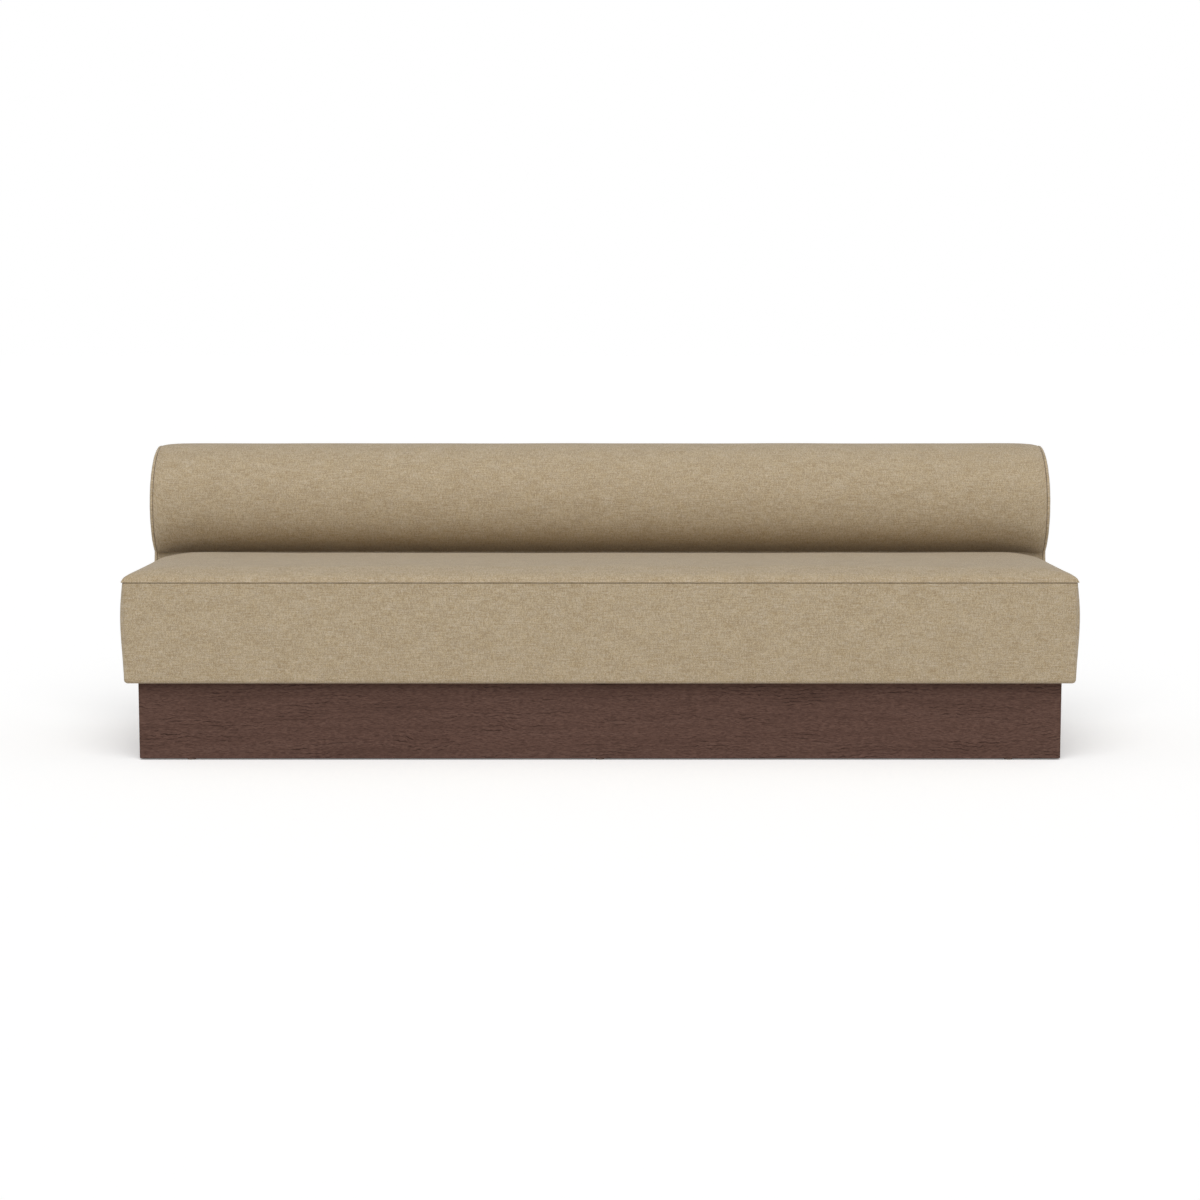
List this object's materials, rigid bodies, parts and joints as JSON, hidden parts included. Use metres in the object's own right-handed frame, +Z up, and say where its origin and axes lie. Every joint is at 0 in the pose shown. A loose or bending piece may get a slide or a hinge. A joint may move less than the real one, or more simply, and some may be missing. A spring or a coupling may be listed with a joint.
{
  "type": "dining sofa",
  "caption": "Long upholstered dining sofa: a boxed seat with a crowned top and a rolled back, on a recessed dark oak plinth.",
  "frame": {"origin": "on the floor, under the middle of the sofa's bounding box", "axes": "+X along the sofa to the sitter's left, +Y from the front to the back, +Z up; the front faces -Y"},
  "size_m": [2.2246, 0.697, 0.7143],
  "materials": {
    "fabric": "beige melange weave, matt",
    "oak": "dark stained oak, satin",
    "pine": "planed, bare",
    "plywood": "sanded, bare",
    "foam": "open-cell foam, matt",
    "felt": "needled felt, matt",
    "dust_cloth": "black non-woven cloth, matt",
    "steel": "zinc plated",
    "nylon": "moulded, matt"
  },
  "bodies": {
    "root": {"plinth_front_board": "oak", "plinth_rear_board": "oak", "plinth_left_board": "oak", "plinth_right_board": "oak", "plinth_corner_block_1": "pine", "plinth_corner_block_2": "pine", "plinth_corner_block_3": "pine", "plinth_corner_block_4": "pine", "plinth_brace_1": "plywood", "plinth_brace_2": "plywood", "floor_glide_1": "nylon", "floor_glide_2": "nylon", "floor_glide_3": "nylon", "floor_glide_4": "nylon", "floor_glide_5": "nylon", "floor_glide_6": "nylon", "seat_front_rail": "pine", "seat_rear_rail": "pine", "seat_left_rail": "pine", "seat_right_rail": "pine", "seat_cross_rail_1": "pine", "seat_cross_rail_2": "pine", "seat_spring_01": "steel", "seat_spring_02": "steel", "seat_spring_03": "steel", "seat_spring_04": "steel", "seat_spring_05": "steel", "seat_spring_06": "steel", "seat_spring_07": "steel", "seat_spring_08": "steel", "seat_spring_09": "steel", "seat_spring_10": "steel", "seat_spring_11": "steel", "seat_front_clip_strip": "steel", "seat_rear_clip_strip": "steel", "seat_felt": "felt", "seat_foam": "foam", "seat_front_pad": "foam", "seat_left_pad": "foam", "seat_right_pad": "foam", "seat_boxing": "fabric", "seat_top_panel": "fabric", "dust_cover": "dust_cloth", "back_base_board": "plywood", "back_spine": "plywood", "back_skin": "plywood", "back_rib_1": "plywood", "back_rib_2": "plywood", "back_rib_3": "plywood", "back_rib_4": "plywood", "back_rib_5": "plywood", "back_front_rail": "pine", "back_foam": "foam", "back_cover": "fabric", "back_left_end_panel": "fabric", "back_right_end_panel": "fabric", "frame_bolt_1": "steel", "frame_bolt_2": "steel", "frame_bolt_3": "steel", "frame_bolt_4": "steel"}
  },
  "joints": []
}
